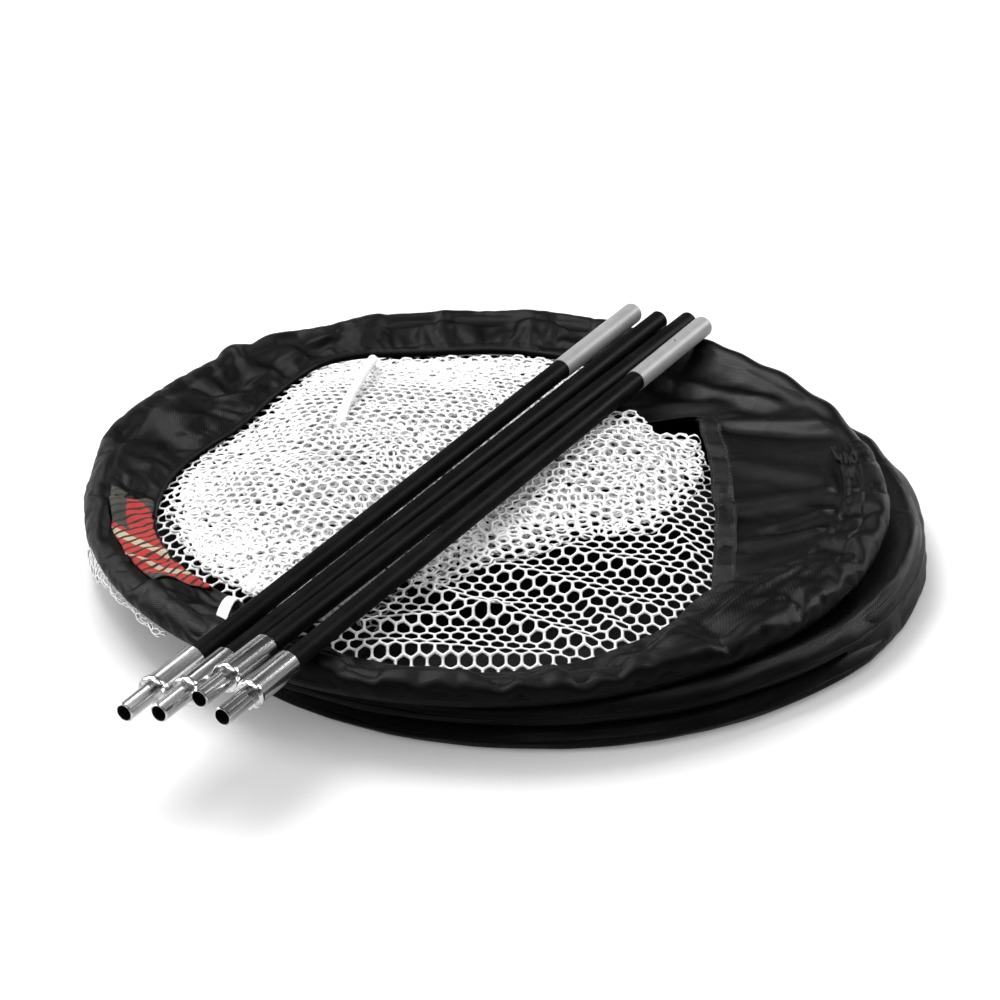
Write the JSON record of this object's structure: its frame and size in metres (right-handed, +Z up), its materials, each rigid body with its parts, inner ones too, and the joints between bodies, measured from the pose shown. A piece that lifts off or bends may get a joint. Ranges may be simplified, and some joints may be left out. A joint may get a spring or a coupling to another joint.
{
  "type": "golf chipping net",
  "caption": "Pop-up golf chipping net folded flat: a sleeved spring-wire hoop coiled into fanning turns of netting and fabric, with loose plug-together pole sections laid across the top.",
  "frame": {"origin": "under the middle of the coil, on the plane of the face that it rests on", "axes": "+Z up, the poles lie 58 degrees from +X towards +Y, -Y faces the pole ferrules"},
  "size_m": [0.346, 0.3485, 0.0493],
  "materials": {
    "spring_wire": "oiled spring steel",
    "splice_steel": "crimped steel",
    "black_fabric": "satin woven polyester",
    "binding_tape": "folded binding tape",
    "netting": "knotless hexagonal mesh",
    "plaid_label": "woven check strip",
    "white_elastic": "braided elastic",
    "pole_coating": "satin black coating",
    "ferrule_steel": "bright formed steel",
    "tip_grey": "matte grey"
  },
  "bodies": {
    "base_loop": {"base_hoop_wire": "spring_wire", "hoop_splice": "splice_steel", "base_sleeve": "black_fabric", "base_panel": "black_fabric", "base_net": "netting"},
    "middle_loop": {"middle_hoop_wire": "spring_wire", "middle_sleeve": "black_fabric", "middle_net": "netting", "middle_skirt": "black_fabric"},
    "top_loop": {"top_hoop_wire": "spring_wire", "top_sleeve": "black_fabric", "target_net": "netting", "catch_net": "netting", "rim_skirt": "black_fabric", "front_band": "black_fabric", "right_panel": "black_fabric", "panel_binding": "binding_tape", "label_strip": "plaid_label", "elastic_cord": "white_elastic", "cord_tab": "white_elastic"},
    "pole_1": {"pole_1_tube": "pole_coating", "pole_1_ferrule": "ferrule_steel", "pole_1_tip": "tip_grey"},
    "pole_2": {"pole_2_tube": "pole_coating", "pole_2_ferrule": "ferrule_steel"},
    "pole_3": {"pole_3_tube": "pole_coating", "pole_3_ferrule": "ferrule_steel"},
    "pole_4": {"pole_4_tube": "pole_coating", "pole_4_ferrule": "ferrule_steel", "pole_4_tip": "tip_grey"}
  },
  "joints": [
    {"name": "front_fold", "type": "hinge", "parent": "base_loop", "child": "middle_loop", "pos_m": [0.14205, -0.08876, 0.0107], "axis": [0.5299, 0.848, 0], "range_deg": [0, 45]},
    {"name": "back_fold", "type": "hinge", "parent": "middle_loop", "child": "top_loop", "pos_m": [-0.1501, 0.0938, 0.0217], "axis": [-0.5299, -0.848, 0], "range_deg": [0, 90]},
    {"name": "pole_1_lift", "type": "slide", "parent": "top_loop", "child": "pole_1", "axis": [0, 0, 1], "range_m": [0, 0.12]},
    {"name": "pole_2_lift", "type": "slide", "parent": "top_loop", "child": "pole_2", "axis": [0, 0, 1], "range_m": [0, 0.12]},
    {"name": "pole_3_lift", "type": "slide", "parent": "top_loop", "child": "pole_3", "axis": [0, 0, 1], "range_m": [0, 0.12]},
    {"name": "pole_4_lift", "type": "slide", "parent": "top_loop", "child": "pole_4", "axis": [0, 0, 1], "range_m": [0, 0.12]}
  ],
  "couplings": [
    {"joint": "back_fold", "follows": "front_fold", "ratio": 2}
  ]
}
